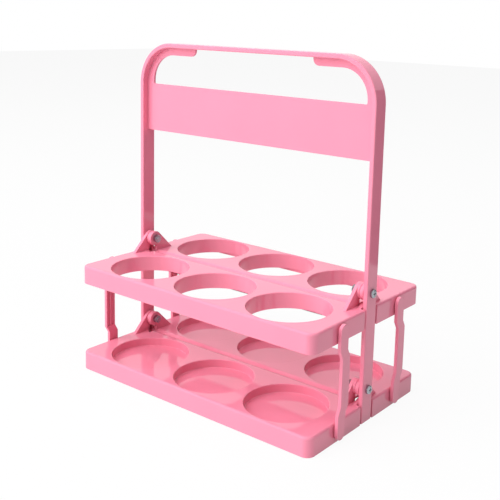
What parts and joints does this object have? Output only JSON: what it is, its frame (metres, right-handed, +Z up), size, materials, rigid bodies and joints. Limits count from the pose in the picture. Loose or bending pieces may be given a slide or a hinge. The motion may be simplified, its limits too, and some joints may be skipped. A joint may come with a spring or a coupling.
{
  "type": "foldable bottle holder",
  "caption": "Tiered plastic bottle carrier with an upright handle frame; its front and rear half trays, with round bottle holes and recesses, fold up together on side links.",
  "frame": {"origin": "on the floor, midway between the legs' feet at the centre of the footprint", "axes": "+X along the trays' length towards the right leg, +Y towards the rear half trays, +Z up"},
  "size_m": [0.3096, 0.1862, 0.3457],
  "materials": {
    "moulded_plastic": "glossy injection moulded, pink",
    "zinc_steel": "bright zinc plated"
  },
  "bodies": {
    "frame": {"handle_frame": "moulded_plastic", "upper_left_screw": "zinc_steel", "upper_right_screw": "zinc_steel", "lower_left_screw": "zinc_steel", "lower_right_screw": "zinc_steel", "upper_left_nut": "zinc_steel", "upper_right_nut": "zinc_steel", "lower_left_nut": "zinc_steel", "lower_right_nut": "zinc_steel"},
    "upper_front_tray": {"upper_front_tray": "moulded_plastic"},
    "upper_rear_tray": {"upper_rear_tray": "moulded_plastic"},
    "lower_front_tray": {"lower_front_tray": "moulded_plastic"},
    "lower_rear_tray": {"lower_rear_tray": "moulded_plastic"},
    "front_left_link": {"front_left_link": "moulded_plastic"},
    "front_right_link": {"front_right_link": "moulded_plastic"},
    "rear_left_link": {"rear_left_link": "moulded_plastic"},
    "rear_right_link": {"rear_right_link": "moulded_plastic"}
  },
  "joints": [
    {"name": "upper_front_fold", "type": "hinge", "parent": "frame", "child": "upper_front_tray", "pos_m": [0, 0, 0.1275], "axis": [-1, 0, 0], "range_deg": [0, 90]},
    {"name": "lower_front_fold", "type": "hinge", "parent": "frame", "child": "lower_front_tray", "pos_m": [0, 0, 0.0329], "axis": [-1, 0, 0], "range_deg": [0, 90]},
    {"name": "upper_rear_fold", "type": "hinge", "parent": "frame", "child": "upper_rear_tray", "pos_m": [0, 0, 0.1275], "axis": [1, 0, 0], "range_deg": [0, 90]},
    {"name": "lower_rear_fold", "type": "hinge", "parent": "frame", "child": "lower_rear_tray", "pos_m": [0, 0, 0.0329], "axis": [1, 0, 0], "range_deg": [0, 90]},
    {"name": "front_left_link_swing", "type": "hinge", "parent": "upper_front_tray", "child": "front_left_link", "pos_m": [-0.1512, -0.0476, 0.1052], "axis": [-1, 0, 0], "range_deg": [-90, 0]},
    {"name": "front_right_link_swing", "type": "hinge", "parent": "upper_front_tray", "child": "front_right_link", "pos_m": [0.1512, -0.0506, 0.1052], "axis": [-1, 0, 0], "range_deg": [-90, 0]},
    {"name": "rear_left_link_swing", "type": "hinge", "parent": "upper_rear_tray", "child": "rear_left_link", "pos_m": [-0.1512, 0.0506, 0.1052], "axis": [1, 0, 0], "range_deg": [-90, 0]},
    {"name": "rear_right_link_swing", "type": "hinge", "parent": "upper_rear_tray", "child": "rear_right_link", "pos_m": [0.1512, 0.0476, 0.1052], "axis": [1, 0, 0], "range_deg": [-90, 0]}
  ],
  "couplings": [
    {"joint": "lower_front_fold", "follows": "upper_front_fold", "ratio": 1},
    {"joint": "front_left_link_swing", "follows": "upper_front_fold", "ratio": -1},
    {"joint": "front_right_link_swing", "follows": "upper_front_fold", "ratio": -1},
    {"joint": "lower_rear_fold", "follows": "upper_rear_fold", "ratio": 1},
    {"joint": "rear_left_link_swing", "follows": "upper_rear_fold", "ratio": -1},
    {"joint": "rear_right_link_swing", "follows": "upper_rear_fold", "ratio": -1}
  ]
}
